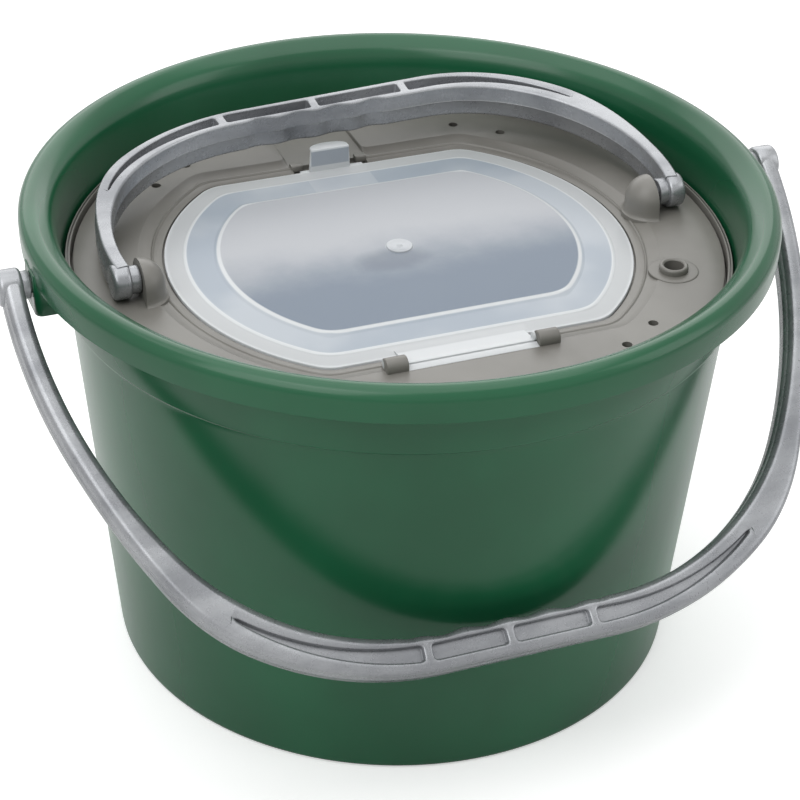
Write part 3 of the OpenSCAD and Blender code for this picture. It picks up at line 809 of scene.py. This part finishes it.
def makeDeck(d):
    outer, top, low, floor, ledge, pan = (d[k] for k in ("outer", "top", "low", "floor", "ledge", "pan"))
    mid, flat, hinge = lid["mid"], lid["flat"], d["hinge"][0]

    # the edge and the flat top, then the gutter's outer wall with the latch channel in it
    loops = [roundLoop(outer, top - 0.6), roundLoop(outer - 0.15, top - 0.2), roundLoop(outer - 0.6, top)]
    loops += [roundLoop(123, top)]
    walls = ((10.7, top, 0.9), (10.2, top - 0.1, 0.55), (9.8, top - 0.4, 0.3), (6.0, floor + 0.1, 0.05), (5.5, floor, 0.01))
    loops += [lidLoop(o, z, grown) for o, z, grown in walls]

    # the gutter's floor with its fine bead, the ledge under the hatch, the mouth and the underside
    rings = ((5.3, floor), (5.1, floor + 0.25), (4.7, floor + 0.35), (4.3, floor + 0.1), (4.1, 169.45), (1.2, 169.35))
    rings += ((0.8, 169.1), (0.8, ledge), (-9.7, ledge), (-10, ledge - 0.3), (-10, pan), (11, pan), (11.5, low))
    loops += [lidLoop(o, z) for o, z in rings]
    loops += [roundLoop(outer - 2, low), roundLoop(outer - 2, d["foot"]), roundLoop(outer, d["foot"])]
    deck = ringed("deckMoulding", loops)

    portSolids, portBore = makePort(d)
    latchCut = block("latchMouth", (mid - 16.6, flat - 2, ledge), (mid + 16.6, flat + 5.6, through[1]), 0.5)
    stripCorners = (d["strip"][0], hinge - 2.0, d["stripLow"]), (d["strip"][1], 2 - flat, through[1])
    cuts = [portBore, latchCut, block("stripMouth", *stripCorners, 0.4)]
    for a in d["vents"]:
        for turn in (a, 180 - a):
            x, y = d["ventAt"] * cosDeg(turn), d["ventAt"] * sinDeg(turn)
            cuts.append(zRod("vent", d["ventRadius"], x, y, *through, 32))
    combined(deck, [makeLug(d, 1), makeLug(d, -1)] + portSolids[1:], "UNION")
    combined(deck, portSolids[:1], "UNION")
    combined(deck, cuts, "DIFFERENCE")
    for x in d["clips"]:
        for solid in makeClip(d, x):
            combined(deck, [solid], "UNION")
    bar = moved(rodAlongX("barBore", d["barBore"] * mm, -40 * mm, 36 * mm), 0, *d["hinge"])
    combined(deck, [bar], "DIFFERENCE")
    for left, right in d["catches"]:
        (near, far), (foot, head) = d["catchDepth"], d["catchHeight"]
        catch = block("catch", (mid + left, flat + near, foot), (mid + right, flat + far, head), 0.35)
        combined(deck, [catch], "UNION")
    smooth(deck, 38)
    finished(deck, warmGrey, "insert", ("deck",))
    makeLeaf(d)
    print("deck made")


makeDeck(deckShape)


# the hatch

hatchShape = {
    "low": 167.9, "top": 169.6, "step": 170.1, "panel": 171.2, "plug": 162.9,
    "tabAt": -3.2, "tabHalf": 9.2, "tabTop": 179.9, "tabFoot": 74.3, "tabThick": 1.5, "tabTaper": 0.08, "cap": 4.5,
    "barRadius": 1.9, "bars": ((-38.1, -29.0), (21.8, 30.9)), "hinge": (-83.0, 172.6),
    "strip": (-29.5, 22.3), "stripSoft": 0.4, "dot": 5.4,
}


def makeTab(d):
    # an upright tongue whose top turns back into a round lip
    mid, w, foot, thick = d["tabAt"], d["tabHalf"], d["tabFoot"], d["tabThick"]
    plate = block("tabPlate", (mid - w, foot, d["low"] + 0.3), (mid + w, foot + thick, d["tabTop"] - 0.2), 0.35)
    for v in plate.data.vertices:
        up = (v.co.z - d["low"] * mm) / ((d["tabTop"] - d["low"]) * mm)
        v.co.x = mid * mm + (v.co.x - mid * mm) * (1 - d["tabTaper"] * up)
    loops = []
    for inset, z in ((0.35, -1.15), (0.1, -1.05), (0.0, -0.85), (0.0, -0.3), (0.12, -0.1), (0.4, 0.0)):
        half, back, deep = w * 0.92 - inset, foot + thick - 0.3, d["cap"] - inset
        outline = [(mid + half * cosDeg(t), back + deep * sinDeg(t) ** 0.75) for t in range(0, 181, 9)]
        outline += [(mid - half + 2 * half * k / 4, foot + inset) for k in range(5)]
        outline += [(mid + half, foot + 0.6 + inset * 0.5), (mid + half, foot + 0.9)]
        loops.append([(x * mm, y * mm, (d["tabTop"] + z) * mm) for x, y in outline])
    return [plate, layered("tabCap", loops)]


def makeStrip(d):
    # the flat hinge strip, which slopes from its front edge down to the flange
    section = [(-84.55, 170.95), (-84.7, 171.45), (-84.5, 171.95), (-84.0, 172.05)]
    section += [(-72.5, 170.05), (-70, 169.4), (-70, 168.3), (-76.2, 169.25)]
    (left, right), soft = d["strip"], d["stripSoft"]
    loops = []
    for x, pull in ((left, soft), (left + soft, 0), (right - soft, 0), (right, soft)):
        loops.append([(x * mm, (y + (pull if y < -80 else 0)) * mm, z * mm) for y, z in section])
    return layered("strip", loops)


def makeHatch(d):
    low, top, step, panel, plug = (d[k] for k in ("low", "top", "step", "panel", "plug"))
    mid, flat = lid["mid"], lid["flat"]

    # the underside with its plug ring, then the edge, the step and the raised panel
    rings = ((-24, 169.0), (-22.4, 168.6), (-21.6, low), (-12.6, low), (-12.6, plug + 0.3), (-12.35, plug))
    rings += ((-11.25, plug), (-11, plug + 0.3), (-11, low), (-0.5, low), (0, low + 0.3))
    rings += ((0, top - 0.4), (-0.2, top - 0.1), (-0.6, top), (-7.1, top), (-7.6, top + 0.1), (-8.2, step - 0.1))
    rings += ((-8.7, step), (-19.4, step), (-19.9, step + 0.1), (-21.7, panel - 0.2), (-22.3, panel - 0.03), (-23, panel))
    hatch = layered("hatchMoulding", [lidLoop(o, z) for o, z in rings])

    lip = block("lip", (mid - 14, flat - 4, low), (mid + 14, flat + 1.5, top), 0.35)
    for solid in (lip, makeStrip(d)):
        combined(hatch, [solid], "UNION")
    for start, end in d["bars"]:
        bar = moved(rodAlongX("bar", d["barRadius"] * mm, start * mm, end * mm, soft=0.3 * mm), 0, *d["hinge"])
        combined(hatch, [bar], "UNION")
    for solid in makeTab(d):
        combined(hatch, [solid], "UNION")

    # the gate mark: a shallow dish with a point in it
    r = d["dot"]
    dish = [(0, panel - 0.4), (r, panel - 0.4), (r, panel + 0.3), (r - 0.25, panel + 0.6), (r - 0.7, panel + 0.65)]
    dish += [(r - 1.2, panel + 0.4), (1.3, panel + 0.25), (0.6, panel + 0.8), (0, panel + 0.9)]
    combined(hatch, [spun("gateDot", dish, 48)], "UNION")
    smooth(hatch, 38)
    finished(hatch, milky, "hatch", ("hatch",))
    print("hatch made")


makeHatch(hatchShape)


# the strainer basket keeps its solid

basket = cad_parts["strainer_basket"]
basket.data.materials.clear()
basket.data.materials.append(warmGrey)


# floor, light and camera

studio = {
    "world": 0.4, "glow": 0.4,  # glow is only seen by the camera, so that the paper is white
    "keyBox": {"place": (-1.1, -0.7, 1.5), "aim": (0, 0, 0.1), "size": (1.4, 1.4), "power": 13.0},
    "fillBox": {"place": (1.5, -0.8, 0.9), "aim": (0, 0, 0.1), "size": (0.9, 1.4), "power": 5.0},
    "topBox": {"place": (0.0, 0.1, 1.9), "aim": (0, 0, 0.15), "size": (2.0, 2.0), "power": 17.0},
    "backBox": {"place": (0.3, 1.6, 1.15), "aim": (0, 0, 0.15), "size": (2.4, 1.4), "power": 14.0},
}


def makeFloor():
    clearSelection()
    bpy.ops.mesh.primitive_plane_add(size=12.0, location=(0, 0, -0.0004))
    floor = added("studioFloor")
    s = Sheet("floorPaper")
    paper = s.blend(s.noise(scale=3.0), (0.86, 0.86, 0.86, 1), (0.9, 0.9, 0.9, 1))
    glow = s.blend(s.ray("Camera"), (0, 0, 0, 1), (1, 1, 1, 1))
    material = s.shade(Base_Color=paper, Roughness=0.8, Emission_Color=glow, Emission_Strength=studio["glow"])
    floor.data.materials.append(material)


def softBox(name, d):
    clearSelection()
    bpy.ops.object.light_add(type="AREA", location=d["place"])
    box = bpy.context.active_object
    box.name = name
    box.data.shape = "RECTANGLE"
    box.data.size, box.data.size_y = d["size"]
    box.data.energy = d["power"]
    way = Vector(d["aim"]) - Vector(d["place"])
    box.rotation_euler = way.to_track_quat("-Z", "Y").to_euler()


def makeWorld():
    # dim for light that falls on the object, white for what looks at it
    world = bpy.data.worlds.new("studioWorld")
    bpy.context.scene.world = world
    world.use_nodes = True
    backdrop = world.node_tree.nodes["Background"]
    backdrop.inputs[0].default_value = (1, 1, 1, 1)
    sky = Sheet("sky", world.node_tree)
    seen = sky.larger(sky.larger(sky.ray("Camera"), sky.ray("Glossy")), sky.ray("Transmission"))
    sky.feed(backdrop.inputs[1], studio["world"] + (1 - studio["world"]) * seen)


makeFloor()
for name in ("keyBox", "fillBox", "topBox", "backBox"):
    softBox(name, studio[name])
makeWorld()

view = {
    "spot": (-3.6748, -838.7014, 642.6319), "tilt": 33.018, "roll": 1.2416, "pan": 0.3128, "turn": -21.3,
    "lens": 107.823, "sensor": 36, "nearest": 0.01,
}


def makeCamera(d):
    # tilted down at the bucket, rolled and panned a little, then carried round it by turn
    tilt, roll, pan = (math.radians(d[k]) for k in ("tilt", "roll", "pan"))
    ahead = Vector((0, math.cos(tilt), -math.sin(tilt)))
    up = Vector((0, math.sin(tilt), math.cos(tilt)))
    right = Vector((1, 0, 0))
    rolledRight = math.cos(roll) * right + math.sin(roll) * up
    rolledUp = -math.sin(roll) * right + math.cos(roll) * up
    look = math.cos(pan) * ahead + math.sin(pan) * rolledRight
    side = math.cos(pan) * rolledRight - math.sin(pan) * ahead
    turn = Matrix.Rotation(math.radians(d["turn"]), 3, "Z")
    side, rolledUp, back = turn @ side, turn @ rolledUp, turn @ -look
    data = bpy.data.cameras.new("photoCamera")
    data.lens = d["lens"]
    data.sensor_width = d["sensor"]
    data.clip_start = d["nearest"]
    camera = bpy.data.objects.new("photoCamera", data)
    bpy.context.scene.collection.objects.link(camera)
    place = Matrix((side, rolledUp, back)).transposed().to_4x4()
    place.translation = turn @ (Vector(d["spot"]) * mm)
    camera.matrix_world = place
    bpy.context.scene.camera = camera


makeCamera(view)
bpy.context.scene.view_settings.view_transform = "Standard"
print("studio set")
